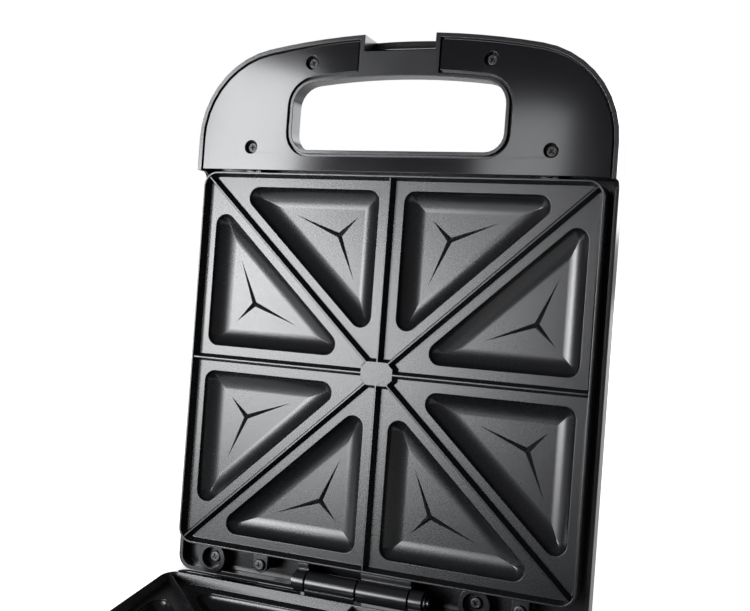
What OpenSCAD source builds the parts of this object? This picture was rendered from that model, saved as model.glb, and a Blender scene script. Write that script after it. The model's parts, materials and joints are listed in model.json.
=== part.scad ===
// Sandwich toaster with two hinged halves, drawn open.
// Each half is drawn in its own flat frame: X across, Y from the hinge axis towards the
// handle, Z out of the cooking face, with Z = 0 on the rim of the plate.

/* [Cooking plates] */
// Width of a plate over its rim
plate_w = 250; // [236:1:262]
// Length of a plate over its rim
plate_l = 232.5; // [224:0.5:240]
// Outer radius of a plate's corners
plate_corner_r = 9; // [6:0.5:14]
// Thickness of the raised rim at its top
rim_t = 1; // [0.8:0.1:2]
// Depth of the skirt below the rim
skirt_d = 13.5; // [13:0.1:15]
// Height of the rim over the flat land
rim_h = 5.6; // [4.5:0.1:7]
// Width of the sealing ribs at their top
rib_w = 0.9; // [0.7:0.1:2]
// How far the sides of the rim and the ribs lean out down to the land
draft = 1.65; // [1:0.05:2]
// Drop of the ribs below the rim
rib_drop = 0.7; // [0.3:0.1:1.2]
// Width of the hub where the ribs meet
hub_w = 20; // [16:0.5:24]
// Length of the hub where the ribs meet
hub_l = 14; // [12:0.5:18]
// Half width of the land along the straight ribs
land_half = 8.2; // [6.5:0.1:10]
// Half width of the land along the diagonal ribs
diagonal_half = 7.6; // [6:0.1:9.5]
// Land between the pockets and the left or right edge
land_side = 7.9; // [6:0.1:14]
// Land between the pockets and the front or rear edge
land_end = 8.5; // [7:0.1:16]
// Depth of a pocket below the land
pocket_depth = 7.2; // [5.5:0.1:9]
// How far a pocket's walls curve in over their depth
pocket_lean = 11.5; // [8:0.1:13]
// Corner radius of a pocket
pocket_r = 6.5; // [4:0.1:8]
// Wall thickness of the casting
cast_t = 2.4; // [1.8:0.1:3.2]
// Height of the three-armed crest on a pocket floor
crest_h = 1.5; // [0.8:0.1:2.2]
// Reach of the crest's arms, as a share of the way to the corners
crest_reach = 0.41; // [0.3:0.01:0.5]

/* [Housing] */
// Width of the housing
body_w = 261.2; // [258:0.2:280]
// Reach of the housing behind the hinge axis
rear_reach = 8.5; // [8:0.1:10]
// Length of the handle in front of the plate's well
handle_l = 81.9; // [78:0.1:92]
// Radius of the handle's long front curve
front_r = 458; // [420:1:520]
// Radius of the handle's shoulders
shoulder_r = 56; // [44:1:60]
// Radius of the rear corners
rear_r = 9; // [6:0.5:12]
// Wall thickness of the mouldings
wall = 2.6; // [2:0.1:3.2]
// Depth of a frame from the rim plane to the parting line
frame_depth = 22; // [21:0.5:26]
// How far the side walls stop short of the rim plane
side_drop = 11.5; // [9:0.1:13]
// Radius at the foot of the step up to the handle
step_r = 5; // [3:0.5:7]
// Floor thickness of a frame
floor_t = 2.4; // [2:0.1:3.2]
// Depth of the lid's cover behind the parting line
cover_depth = 23; // [21:0.5:28]
// Depth of the base pan behind the parting line
pan_depth = 28; // [26:0.5:34]
// Depth of the handle's back behind the parting line
grip_depth = 6.5; // [5:0.1:9]
// Parting gap between a frame and its cover
parting = 0.2; // [0.1:0.05:0.4]

/* [Handle] */
// Half width of the finger opening
opening_half = 66.5; // [56:0.5:72]
// Width of the handle behind the finger opening
opening_gap = 12.5; // [10.5:0.5:14]
// Width of the handle bar at its middle
bar_w = 25.2; // [22:0.1:30]
// Corner radius of the opening, plate side
opening_r1 = 11; // [8:0.5:14]
// Corner radius of the opening, front side
opening_r2 = 14; // [10:0.5:18]
// Straight depth of the opening's wall
opening_depth = 11.3; // [9:0.1:14]
// How far the opening flares at the parting line
opening_flare = 7; // [4:0.1:8]
// Thickness of the inlaid panel
panel_t = 2.4; // [2:0.1:3]
// Drop of the panel below the rim plane
panel_drop = 0.5; // [0.2:0.1:1]
// Shadow gap round the panel
panel_gap = 1; // [0.6:0.1:1.6]
// Shadow gap beside the opening
inner_gap = 1.6; // [1:0.1:2.2]
// Width of the lip round the opening
opening_lip = 2.1; // [1.6:0.1:3]
// Gap between the panel and the plate's rim
panel_clear = 1.7; // [1:0.1:2.4]

/* [Hinge] */
// Distance from the hinge axis to the plates
hinge_to_plate = 11.3; // [11:0.1:13]
// Height of the hinge axis over the closed lid's rim plane
lid_axis = 2; // [1.5:0.1:2.5]
// Gap between the closed plates
plate_gap = 1; // [0.6:0.1:1.6]
// How far the lid opens, in degrees
open_angle = 101; // [96:0.5:102]
// Outer radius of the knuckles
knuckle_r = 6.4; // [6:0.1:6.6]
// Radius of the hinge pin
pin_r = 2.5; // [2:0.1:3]
// Running clearance round a pin
pin_clear = 0.08; // [0.04:0.01:0.1]
// Left end of the row of knuckles
knuckle_start = -42; // [-46:0.5:-38]
// Gap between two knuckles
knuckle_gap = 0.9; // [0.6:0.1:1.4]

/* [Latch] */
// Width of the notch for the latch
notch_w = 44.2; // [38:0.2:50]
// Depth of the notch from the front
notch_d = 10.4; // [9:0.1:12]
// Swing of the latch from closed to clear, in degrees
latch_swing = 35; // [25:1:45]
// Thickness of the latch
latch_t = 3.6; // [3:0.1:4]

/* [Fastenings] */
// Radius of a fixing screw's shank
screw_r = 1.8; // [1.5:0.1:2.2]
// Radius of a fixing screw's head
head_r = 3.6; // [3.2:0.1:3.9]
// Height of a fixing screw's head
head_h = 1.7; // [1.4:0.1:2.2]
// Length of the plates' and the handle backs' screws
screw_l = 11; // [9:0.5:11]
// Length of the handle panels' screws
panel_screw_l = 9; // [7:0.5:10]
// Length of the screws in the rear towers
tower_screw_l = 14; // [11:0.5:15]
// Width of a plate's fixing ear
ear_w = 10; // [9:0.1:12]
// Distance from the rim to a rear ear's screw
ear_reach = 7.3; // [6.5:0.1:8]
// Distance from the rim to a front ear's screw
front_ear_reach = 4.6; // [4:0.1:4.8]
// Height of the rubber feet
foot_h = 8; // [6:0.5:12]

/* [Hidden] */

fine = 48;
eps = 0.01;
half_w = body_w / 2;
plate_mid = hinge_to_plate + plate_l / 2;
plate_end = hinge_to_plate + plate_l;
panel_start = plate_end + panel_clear;
front_reach = panel_start + handle_l;
opening_start = panel_start + opening_gap;
land_z = -rim_h;
pocket_floor = land_z - pocket_depth;
cast_low = pocket_floor - cast_t;
slope = plate_l / plate_w;
tilt = atan(slope);

// Levels of the housing, measured from the rim plane
floor_z = -frame_depth + floor_t;
cover_z = -frame_depth - cover_depth;
pan_z = -frame_depth - pan_depth;
panel_top = -panel_drop;
panel_low = panel_top - panel_t;
seat_gap = 0.2;
seat_top = panel_low - seat_gap;
seat_t = 2.5;

// Where the two halves stand
base_axis = lid_axis + plate_gap;
base_z = foot_h - pan_z;
axis_z = base_z + base_axis;
latch_top = 33;
latch_v = front_reach - 5.4;
latch_w = -14;
front_most = latch_v + latch_top * sin(latch_swing) + latch_t;
rear_most = -front_reach * cos(open_angle) + (frame_depth + grip_depth - lid_axis) * sin(open_angle);
axis_y = round((front_most - rear_most) / 2);

// Centres of the outline's arcs: the shoulders run smoothly into the front curve
front_c = front_reach - front_r;
shoulder_x = half_w - shoulder_r;
shoulder_y = front_c + sqrt(pow(front_r - shoulder_r, 2) - pow(shoulder_x, 2));
front_turn = atan2(shoulder_y - front_c, shoulder_x);
bar_r = front_r - bar_w;
opening_x2 = opening_half - opening_r2;
opening_y2 = front_c + sqrt(pow(bar_r - opening_r2, 2) - pow(opening_x2, 2));
opening_turn = atan2(opening_y2 - front_c, opening_x2);

// Knuckles from left to right: lid, base, lid, base
knuckle_l = [7, 32, 31.5, 8];
function knuckle_at(i) = i == 0 ? knuckle_start : knuckle_at(i - 1) + knuckle_l[i - 1] + knuckle_gap;
hinge_end = knuckle_at(3) + knuckle_l[3];

// Fixing points
ear_rear_x = [56 - plate_w / 2, plate_w / 2 - 31];
ear_front_x = [32 - plate_w / 2, plate_w / 2 - 32];
tower_x = [24.6 - half_w, half_w - 64.6];
tower_y = 1.5;
upper_screw_x = opening_half - 10.5;
upper_screw_y = front_reach - 16.4;
lower_screw_x = half_w - 36.8;
lower_screw_y = panel_start + 14;
panel_screw_xy = [[-upper_screw_x, upper_screw_y], [upper_screw_x, upper_screw_y],
    [-lower_screw_x, lower_screw_y], [lower_screw_x, lower_screw_y]];
ear_top = -5.2;
ear_t = 2.5;
ear_low = ear_top - ear_t;
shield_z = -28;
shield_t = 0.8;
element_r = 3.3;
element_z = cast_low - element_r - 0.1;
shield_post_x = plate_w / 2 - 43;
shield_post_y = [hinge_to_plate + 33.7, plate_end - 38.8];
shield_post_xy = [for (s = [-1, 1], y = shield_post_y) [s * shield_post_x, y]];
front_post_xy = [for (s = [-1, 1]) [s * (half_w - 26.6), panel_start + 30.5]];
foot_xy = [for (s = [-1, 1], y = [hinge_to_plate + 14.7, plate_end - 19.8]) [s * (half_w - 34.6), y]];
grommet_x = 62.6 - half_w;
grommet_z = -frame_depth - 9;
block_y = hinge_to_plate + 17.7;
lamp_x = 13;
lamp_y = plate_end - 32.8;
lamp_r = 4.5;
carrier_w = 70;
carrier_l = 14;

function arc(c, r, a0, a1, n) =
    [for (i = [0:n]) let (a = a0 + (a1 - a0) * i / n) c + r * [cos(a), sin(a)]];

// Outline of a half of the housing, drawn in by i
function outline(i = 0) = concat(
    arc([0, front_c], front_r - i, front_turn, 180 - front_turn, 14),
    arc([-shoulder_x, shoulder_y], shoulder_r - i, 180 - front_turn, 180, 9),
    arc([-half_w + rear_r, rear_r - rear_reach], rear_r - i, 180, 270, 5),
    arc([half_w - rear_r, rear_r - rear_reach], rear_r - i, 270, 360, 5),
    arc([shoulder_x, shoulder_y], shoulder_r - i, 0, front_turn, 9));

// Outline of the deep part of the housing behind the handle, drawn in by i
tub_end = opening_start - opening_flare - 5.4;
tub_r = 30;
function tub(i = 0) = concat(
    arc([half_w - tub_r, tub_end - tub_r], tub_r - i, 0, 90, 8),
    arc([-half_w + tub_r, tub_end - tub_r], tub_r - i, 90, 180, 8),
    arc([-half_w + rear_r, rear_r - rear_reach], max(1, rear_r - i), 180, 270, 5)
        + rear_shift(i, 1),
    arc([half_w - rear_r, rear_r - rear_reach], max(1, rear_r - i), 270, 360, 5)
        + rear_shift(i, -1));
function rear_shift(i, s) =
    let (d = max(0, i - rear_r + 1)) [for (k = [0:5]) [s * d, d]];

// Outline of the finger opening, let out by e
function opening(e = 0) = concat(
    arc([0, front_c], bar_r + e, opening_turn, 180 - opening_turn, 10),
    arc([-opening_x2, opening_y2], opening_r2 + e, 180 - opening_turn, 180, 6),
    arc([-opening_half + opening_r1, opening_start + opening_r1], opening_r1 + e, 180, 270, 6),
    arc([opening_half - opening_r1, opening_start + opening_r1], opening_r1 + e, 270, 360, 6),
    arc([opening_x2, opening_y2], opening_r2 + e, 0, opening_turn, 6));

// Outline of a rectangle with round corners
function round_box(w, l, r, n = 6) = concat(
    arc([w / 2 - r, l / 2 - r], r, 0, 90, n), arc([r - w / 2, l / 2 - r], r, 90, 180, n),
    arc([r - w / 2, r - l / 2], r, 180, 270, n), arc([w / 2 - r, r - l / 2], r, 270, 360, n));

module slab(points, z0, z1) {
    translate([0, 0, z0]) linear_extrude(height = z1 - z0) polygon(points);
}

module slice(points, z) {
    slab(points, z, z + 0.1);
}

module half_plane(v0, z0, z1) {
    translate([-half_w - 5, v0, z0]) cube([body_w + 10, front_reach, z1 - z0]);
}

// Screws

module screw(length) {
    difference() {
        union() {
            cylinder(r = head_r, h = head_h, $fn = fine);
            translate([0, 0, -length]) cylinder(r = screw_r, h = length + eps, $fn = fine);
        }
        for (a = [0, 90])
            rotate([0, 0, a]) translate([-head_r * 0.6, -0.5, head_h - 0.9]) cube([head_r * 1.2, 1, 1]);
    }
}

// Plates

// Corner circles of a pocket: its sides are moved in by r, and each corner gets an arc
function unit(v) = v / norm(v);
function corner_arc(p, a, b, r, n) =
    let (ua = unit(a - p), ub = unit(b - p), half = acos(ua * ub) / 2,
         c = p + unit(ua + ub) * r / sin(half),
         t0 = p + ua * r / tan(half) - c, t1 = p + ub * r / tan(half) - c,
         a0 = atan2(t0[1], t0[0]), turn = atan2(t1[1], t1[0]) - a0,
         sweep = turn > 180 ? turn - 360 : turn < -180 ? turn + 360 : turn)
    arc(c, r, a0, a0 + sweep, n);
function round_tri(t, r) = concat(
    corner_arc(t[0], t[2], t[1], r, 5), corner_arc(t[1], t[0], t[2], r, 5),
    corner_arc(t[2], t[1], t[0], r, 5));
function incentre(t) =
    let (a = norm(t[1] - t[2]), b = norm(t[0] - t[2]), c = norm(t[0] - t[1]))
    (a * t[0] + b * t[1] + c * t[2]) / (a + b + c);
function inradius(t) =
    let (a = norm(t[1] - t[2]), b = norm(t[0] - t[2]), c = norm(t[0] - t[1]),
         p = t[1] - t[0], q = t[2] - t[0])
    abs(p[0] * q[1] - p[1] * q[0]) / (a + b + c);

pocket_x = plate_w / 2 - land_side;
pocket_y = plate_l / 2 - land_end;
lift = diagonal_half / cos(tilt);
end_tri = [[land_half, slope * land_half + lift], [land_half, pocket_y],
    [(pocket_y - lift) / slope, pocket_y]];
side_tri = [[(land_half + lift) / slope, land_half], [pocket_x, slope * pocket_x - lift],
    [pocket_x, land_half]];

// A pocket's wall is a quarter ellipse in straight steps, let out by out
hollow_steps = [0, 30, 60, 90];
bowl_steps = [0, 50, 90];
module pocket(t, out, steps) {
    c = incentre(t);
    r = inradius(t) + out;
    grown = [for (p = round_tri(t, pocket_r)) p - c + out * unit(p - c)];
    start = out > 0 ? -0.5 : 0.4;
    for (i = [0:len(steps) - 2]) {
        s0 = (r - pocket_lean * (1 - cos(steps[i]))) / r;
        s1 = (r - pocket_lean * (1 - cos(steps[i + 1]))) / r;
        z0 = land_z - (pocket_depth + out) * sin(steps[i]) + (i == 0 ? start : 0.05);
        z1 = land_z - (pocket_depth + out) * sin(steps[i + 1]);
        translate([c[0], c[1], z0]) mirror([0, 0, 1])
            linear_extrude(height = z0 - z1, scale = s1 / s0) polygon(grown * s0);
    }
}

// Pit between two ribs and the rim, wider at its top by the draft
module pit(t) {
    c = incentre(t);
    h = rim_h - rib_drop;
    k = (h + 1) / h * draft / inradius(t);
    translate([c[0], c[1], land_z])
        linear_extrude(height = h + 1, scale = 1 + k) polygon([for (p = t) p - c]);
}

module crest(t) {
    c = incentre(t);
    tips = [for (p = t) (p - c) * crest_reach];
    star = [for (i = [0:2]) each [tips[i], unit(tips[i]) * 1.4 + unit(tips[(i + 1) % 3]) * 1.4]];
    translate([c[0], c[1], pocket_floor - 0.5])
        linear_extrude(height = crest_h + 0.5, scale = 0.35) polygon(star);
}

module four_ways() {
    for (sx = [0, 1], sy = [0, 1])
        mirror([sx, 0, 0]) mirror([0, sy, 0]) children();
}

module ear(reach) {
    difference() {
        union() {
            translate([-ear_w / 2, -2, ear_low]) cube([ear_w, reach + 2, ear_t]);
            translate([0, reach, ear_low]) cylinder(r = ear_w / 2, h = ear_t, $fn = fine);
        }
        translate([0, reach, ear_low - 1]) cylinder(r = screw_r + 0.3, h = ear_t + 2, $fn = fine);
    }
}

rib_half = rib_w / 2 + draft;
rim_foot = rim_t + draft;
rib_lift = rib_half / cos(tilt);
pit_x = plate_w / 2 - rim_foot;
pit_y = plate_l / 2 - rim_foot;
end_pit = [[rib_half, slope * rib_half + rib_lift], [rib_half, pit_y],
    [(pit_y - rib_lift) / slope, pit_y]];
tray_lean = [for (d = [plate_w, plate_l]) 1 + 2 * draft * (rim_h + 1) / rim_h / (d - 2 * rim_foot)];
hub_lean = [1 + 2 * draft / hub_w, 1 + 2 * draft / hub_l];
side_pit = [[(rib_half + rib_lift) / slope, rib_half], [pit_x, slope * pit_x - rib_lift],
    [pit_x, rib_half]];
module plate() {
    rim_out = round_box(plate_w, plate_l, plate_corner_r);
    under = round_box(plate_w - 2 * cast_t, plate_l - 2 * cast_t, plate_corner_r - cast_t);
    foot = round_box(plate_w - 2 * rim_foot, plate_l - 2 * rim_foot, plate_corner_r - rim_foot);
    hub = [for (sx = [-1, 1], k = [0, 1, 2, 3]) hub_point(sx, k)];
    translate([0, plate_mid, 0]) difference() {
        union() {
            difference() {
                slab(rim_out, -skirt_d, 0);
                slab(under, -skirt_d - 1, land_z - cast_t);
                intersection() {
                    union() {
                        four_ways() {
                            pit(end_pit);
                            pit(side_pit);
                        }
                        slab(rim_out, -rib_drop, 2);
                    }
                    translate([0, 0, land_z - eps])
                        linear_extrude(height = rim_h + 1, scale = tray_lean) polygon(foot);
                }
            }
            four_ways() {
                pocket(end_tri, cast_t, bowl_steps);
                pocket(side_tri, cast_t, bowl_steps);
            }
            translate([0, 0, land_z - 0.5]) linear_extrude(height = rim_h - rib_drop + 0.5,
                scale = [1 / hub_lean[0], 1 / hub_lean[1]])
                polygon([for (p = hub) [p[0] * hub_lean[0], p[1] * hub_lean[1]]]);
            for (i = [0, 1]) {
                translate([ear_rear_x[i], -plate_l / 2, 0]) mirror([0, 1, 0]) ear(ear_reach);
                translate([ear_front_x[i], plate_l / 2, 0]) ear(front_ear_reach);
            }
            // Seat of the thermostat under the hub
            translate([0, 0, cast_low]) cylinder(r = 7, h = land_z - cast_low - 1, $fn = fine);
        }
        four_ways() {
            pocket(end_tri, 0, hollow_steps);
            pocket(side_tri, 0, hollow_steps);
        }
    }
    translate([0, plate_mid, 0]) four_ways() {
        crest(end_tri);
        crest(side_tri);
    }
}
function hub_point(sx, k) =
    let (x = hub_w / 2, y = hub_l / 2, bx = hub_w * 0.3, by = hub_l * 0.24)
    sx < 0 ? [[-bx, -y], [-x, -by], [-x, by], [-bx, y]][k] : [[bx, y], [x, by], [x, -by], [bx, -y]][k];

module plate_screws() {
    for (i = [0, 1]) {
        translate([ear_rear_x[i], hinge_to_plate - ear_reach, ear_top]) screw(screw_l);
        translate([ear_front_x[i], plate_end + front_ear_reach, ear_top]) screw(screw_l);
    }
}

// Heating element: a tube bent into a U under the plate
element_x = 58;
element_bend = 24;
element_start = hinge_to_plate + 22;
element_end = plate_end - 54;
module element() {
    translate([0, 0, element_z]) {
        for (s = [-1, 1]) {
            translate([s * element_x, element_start, 0]) rotate([-90, 0, 0])
                cylinder(r = element_r, h = element_end - element_start, $fn = fine);
            translate([s * element_x, element_start - 7, 0]) rotate([-90, 0, 0])
                cylinder(r = 1.3, h = 8, $fn = fine);
            translate([s * (element_x - element_bend), element_end, 0])
                rotate([0, 0, s > 0 ? 0 : 90]) rotate_extrude(angle = 90, $fn = fine)
                    translate([element_bend, 0]) circle(r = element_r, $fn = fine);
        }
        translate([element_bend - element_x, element_end + element_bend, 0]) rotate([0, 90, 0])
            cylinder(r = element_r, h = 2 * (element_x - element_bend), $fn = fine);
    }
}

module heat_shield() {
    shield_w = plate_w - 44;
    shield_l = plate_l - 32;
    translate([0, plate_mid, 0]) difference() {
        slab(round_box(shield_w, shield_l, 8), shield_z, shield_z + 5);
        slab(round_box(shield_w - 2 * shield_t, shield_l - 2 * shield_t, 8 - shield_t),
            shield_z + shield_t, shield_z + 6);
    }
}

// Frames

module step_cut() {
    profile = concat([[-rear_reach - 5, -side_drop]],
        arc([panel_start - 1 - step_r, step_r - side_drop], step_r, 270, 360, 6),
        [[panel_start - 1, 5], [-rear_reach - 5, 5]]);
    translate([-half_w - 5, 0, 0]) rotate([90, 0, 90])
        linear_extrude(height = body_w + 10) polygon(profile);
}

module walls() {
    difference() {
        slab(outline(), -frame_depth, 0);
        slab(outline(wall), -frame_depth - 1, 1);
        step_cut();
    }
}

module floor_plate() {
    window = round_box(plate_w - 60, plate_l - 24, 8);
    difference() {
        slab(outline(1), -frame_depth, floor_z);
        translate([0, plate_mid, 0]) slab(window, -frame_depth - 1, floor_z + 1);
        slab(opening(opening_flare), -frame_depth - 1, floor_z + 1);
    }
}

module seat() {
    cross = panel_start + 0.6;
    intersection() {
        slab(outline(1), -frame_depth, 0);
        union() {
            half_plane(cross, seat_top - seat_t, seat_top);
            translate([-half_w, cross, -frame_depth]) cube([body_w, wall, frame_depth + seat_top]);
        }
    }
}

module opening_wall() {
    slab(opening(opening_lip), -opening_depth, 0);
    hull() {
        slice(opening(opening_lip), -opening_depth - 0.1);
        slice(opening(opening_flare + opening_lip), -frame_depth);
    }
}

module opening_cut() {
    slab(opening(), -opening_depth, 1);
    hull() {
        slice(opening(), -opening_depth);
        slice(opening(opening_flare), -frame_depth - 0.1);
    }
}

// Middle land between the two wings of the panel, with the cheeks of the notch
land_w = notch_w / 2 + 2.9;
notch_back = front_reach - notch_d;
module middle_land() {
    intersection() {
        slab(outline(), -frame_depth, 0);
        union() {
            translate([-land_w, front_reach - bar_w, -3]) cube([2 * land_w, bar_w, 3]);
            translate([-land_w, notch_back - wall, -frame_depth])
                cube([2 * land_w, bar_w, frame_depth]);
        }
    }
}

module notch_cut() {
    translate([-notch_w / 2, notch_back, floor_z]) cube([notch_w, bar_w, frame_depth]);
}

module post(x, y, z, r) {
    translate([x, y, -frame_depth]) cylinder(r = r, h = z + frame_depth, $fn = fine);
}

module pilot(x, y, z, depth, r) {
    translate([x, y, z - depth]) cylinder(r = r, h = depth + 1, $fn = fine);
}

// i gives the knuckles that belong to this half, and side turns the row round for the base
module knuckles(i, side, axis_w, web_front, web_top) {
    for (k = i) {
        x = side > 0 ? knuckle_at(k) : -knuckle_at(k) - knuckle_l[k];
        translate([x, 0, axis_w]) rotate([0, 90, 0])
            cylinder(r = knuckle_r, h = knuckle_l[k], $fn = fine);
        translate([x, -knuckle_r + 1, -frame_depth])
            cube([knuckle_l[k], knuckle_r - 1 + web_front, frame_depth + web_top]);
    }
}

module hinge_bore(axis_w) {
    translate([-60, 0, axis_w]) rotate([0, 90, 0]) cylinder(r = pin_r + pin_clear, h = 120, $fn = fine);
}

tower_r = 9.5;
tower_top = -10;
tower_seat = -16;
module frame_body(axis_w) {
    difference() {
        union() {
            walls();
            floor_plate();
            difference() {
                seat();
                for (x = ear_front_x)
                    translate([x - ear_w / 2 - 1.5, panel_start - 5, ear_low - 0.2])
                        cube([ear_w + 3, front_ear_reach + ear_w / 2 + 4, frame_depth]);
            }
            opening_wall();
            middle_land();
            for (i = [0, 1]) {
                post(ear_rear_x[i], hinge_to_plate - ear_reach, ear_low - 0.1, 4.6);
                post(ear_front_x[i], plate_end + front_ear_reach, ear_low - 0.2 + eps, 4.2);
                post(tower_x[i], tower_y, tower_top, tower_r);
            }
            for (p = panel_screw_xy) post(p[0], p[1], seat_top - eps, 5.2);
            for (p = front_post_xy) post(p[0], p[1], seat_top - seat_t + eps, 5);
            children(0);
        }
        opening_cut();
        notch_cut();
        for (i = [0, 1]) {
            pilot(ear_rear_x[i], hinge_to_plate - ear_reach, ear_low, 10.5, screw_r + 0.1);
            pilot(ear_front_x[i], plate_end + front_ear_reach, ear_low, 10.5, screw_r + 0.1);
            translate([tower_x[i], tower_y, tower_seat]) cylinder(r = 6.5, h = 10, $fn = fine);
            pilot(tower_x[i], tower_y, tower_seat, 10, screw_r + 0.3);
        }
        for (p = panel_screw_xy) {
            pilot(p[0], p[1], seat_top, 1.6, head_r + 0.5);
            pilot(p[0], p[1], seat_top, 12, screw_r + 0.1);
        }
        for (p = front_post_xy) pilot(p[0], p[1], -frame_depth + 10, 10.5, screw_r + 0.1);
        hinge_bore(axis_w);
        translate([-land_w - 3, latch_v, latch_w]) rotate([0, 90, 0])
            cylinder(r = latch_pin_r + 0.02, h = 2 * land_w + 6, $fn = fine);
    }
}
latch_pin_r = 1.5;

module handle_panel() {
    outer_in = wall + panel_gap;
    difference() {
        slab(outline(outer_in), panel_low, panel_top);
        translate([-half_w - 1, -rear_reach - 1, panel_low - 1])
            cube([body_w + 2, panel_start + rear_reach + 1, panel_t + 2]);
        slab(opening(opening_lip + inner_gap), panel_low - 1, panel_top + 1);
        translate([-land_w - panel_gap, front_reach - bar_w - 3, panel_low - 1])
            cube([2 * (land_w + panel_gap), bar_w + 5, panel_t + 2]);
        for (p = panel_screw_xy)
            translate([p[0], p[1], panel_low - 1])
                cylinder(r = head_r + 0.5, h = panel_t + 2, $fn = fine);
    }
}

module panel_screws() {
    for (p = panel_screw_xy) translate([p[0], p[1], seat_top - 1.6]) screw(panel_screw_l);
}

// Covers

// Each pair gives how far a cover's outline has drawn in at a share of its depth
lid_curve = [[0, 0], [2.8, 0.35], [5.6, 0.7], [10.5, 0.92], [22, 1]];
pan_curve = [[0, 0], [0.5, 0.62], [2.2, 0.84], [6, 0.96], [12, 1]];
module tub_hull(i, depth, curve) {
    top = -frame_depth - parting - 0.1;
    hull() {
        for (p = curve) slice(tub(i + p[0]), top - (depth - parting - 0.1) * p[1]);
    }
}

module grip_hull(i, depth) {
    hull() {
        slice(outline(i), -frame_depth - parting - 0.1);
        slice(outline(i + 0.8), -frame_depth - depth * 0.4);
        slice(outline(i + 3), -frame_depth - depth * 0.8);
        slice(outline(i + 7), -frame_depth - depth);
    }
}

module shell(depth, curve) {
    top_cut = -frame_depth - parting;
    difference() {
        union() {
            tub_hull(0, depth, curve);
            grip_hull(0, grip_depth);
        }
        difference() {
            union() {
                tub_hull(wall, depth - wall, curve);
                grip_hull(wall, grip_depth - wall);
            }
            hull() {
                slice(opening(opening_flare + opening_lip), top_cut);
                slice(opening(opening_flare + opening_lip + 5), -frame_depth - grip_depth - 1);
            }
        }
        hull() {
            slice(opening(opening_flare), top_cut + 0.2);
            slice(opening(opening_flare + 5), -frame_depth - grip_depth - 1);
        }
        slab(outline(-3), top_cut, 1);
    }
}

// Level of the screw seats sunk into the handle's back
grip_seat = -frame_depth - grip_depth + 3.4;

// Posts inside a cover, from its wall up to the level z
module inner_post(x, y, z, low, r) {
    translate([x, y, low]) cylinder(r = r, h = z - low, $fn = fine);
}

module cover_posts(low, tower_low) {
    top = -frame_depth - parting;
    for (i = [0, 1]) inner_post(tower_x[i], tower_y, top, tower_low, 4.6);
    for (p = shield_post_xy) inner_post(p[0], p[1], shield_z, low + 1, 4);
    for (p = front_post_xy) inner_post(p[0], p[1], top, -frame_depth - grip_depth + 1, 6.8);
}

module cover_pilots() {
    for (i = [0, 1])
        pilot(tower_x[i], tower_y, -frame_depth, 12, screw_r + 0.1);
    for (p = front_post_xy) {
        pilot(p[0], p[1], -frame_depth, 20, screw_r + 0.3);
        pilot(p[0], p[1], grip_seat - 1, 12, head_r + 0.8);
    }
}

// Screws that hold a cover: two down the rear towers, two up through the handle's back
module cover_screws() {
    for (i = [0, 1]) translate([tower_x[i], tower_y, tower_seat]) screw(tower_screw_l);
    for (p = front_post_xy)
        translate([p[0], p[1], grip_seat]) mirror([0, 0, 1]) screw(screw_l);
}

// Parts of the lid

module in_lid() {
    translate([0, axis_y, axis_z]) rotate([-open_angle, 0, 0])
        translate([0, 0, -lid_axis]) rotate([180, 0, 0]) children();
}

module in_base() {
    translate([0, axis_y, base_z]) rotate([0, 0, 180]) children();
}

catch_half = 15;
catch_low = -12.3;
catch_high = -18;
module lid_frame() {
    color([0.06, 0.06, 0.07]) in_lid() difference() {
        union() {
            frame_body(-lid_axis) {
                knuckles([0, 2], 1, -lid_axis, 8.3, -3.4);
            }
            // Raised edge of the hinge webs under the plate's rim
            for (k = [0, 2])
                translate([knuckle_at(k), 8.2, -frame_depth])
                    cube([knuckle_l[k], hinge_to_plate - 0.6 - 8.2, frame_depth - 2]);
            // Rounded bead across the back of the notch
            translate([-notch_w / 2 - 1, notch_back + 5.6, floor_z]) rotate([0, 90, 0])
                cylinder(r = 1.5, h = notch_w + 2, $fn = fine);
        }
        // Window that the latch hooks into
        translate([-catch_half, notch_back - wall - 1, catch_high])
            cube([2 * catch_half, wall + 2, catch_low - catch_high]);
    }
}

module lid_cover() {
    color([0.05, 0.05, 0.06]) in_lid() difference() {
        union() {
            shell(cover_depth, lid_curve);
            cover_posts(cover_z, -frame_depth - cover_depth * 0.6);
            for (s = [-1, 1]) inner_post(s * 30, lamp_y, cover_z + 9, cover_z + 1, 3);
        }
        cover_pilots();
        for (s = [-1, 1])
            translate([s * lamp_x, lamp_y, cover_z - 1])
                cylinder(r = lamp_r + 0.15, h = wall + 2, $fn = fine);
    }
}

module lid_handle_panel() color([0.1, 0.1, 0.11]) in_lid() handle_panel();
module lid_panel_screws() color([0.2, 0.2, 0.21]) in_lid() panel_screws();
module lid_plate() color([0.27, 0.28, 0.29]) in_lid() plate();
module lid_plate_screws() color([0.55, 0.55, 0.56]) in_lid() plate_screws();
module lid_element() color([0.5, 0.42, 0.36]) in_lid() element();
module lid_heat_shield() color([0.78, 0.79, 0.8]) in_lid() heat_shield();
module lid_cover_screws() color([0.6, 0.6, 0.62]) in_lid() cover_screws();

module lamp() {
    flange_z = cover_z + wall + 0.05;
    translate([0, 0, cover_z - 1.2]) cylinder(r = lamp_r, h = wall + 1.3, $fn = fine);
    translate([0, 0, flange_z]) cylinder(r = lamp_r + 1.5, h = 1.5, $fn = fine);
    translate([0, 0, flange_z + 1.4]) cylinder(r = 3.2, h = 8, $fn = fine);
}

module lamp_carrier() {
    carrier_z = cover_z + 9;
    color([0.85, 0.83, 0.78]) in_lid() difference() {
        translate([0, lamp_y, 0]) slab(round_box(carrier_w, carrier_l, 3), carrier_z, carrier_z + 2);
        for (s = [-1, 1])
            translate([s * lamp_x, lamp_y, carrier_z - 1]) cylinder(r = 3.3, h = 4, $fn = fine);
    }
}

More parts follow.
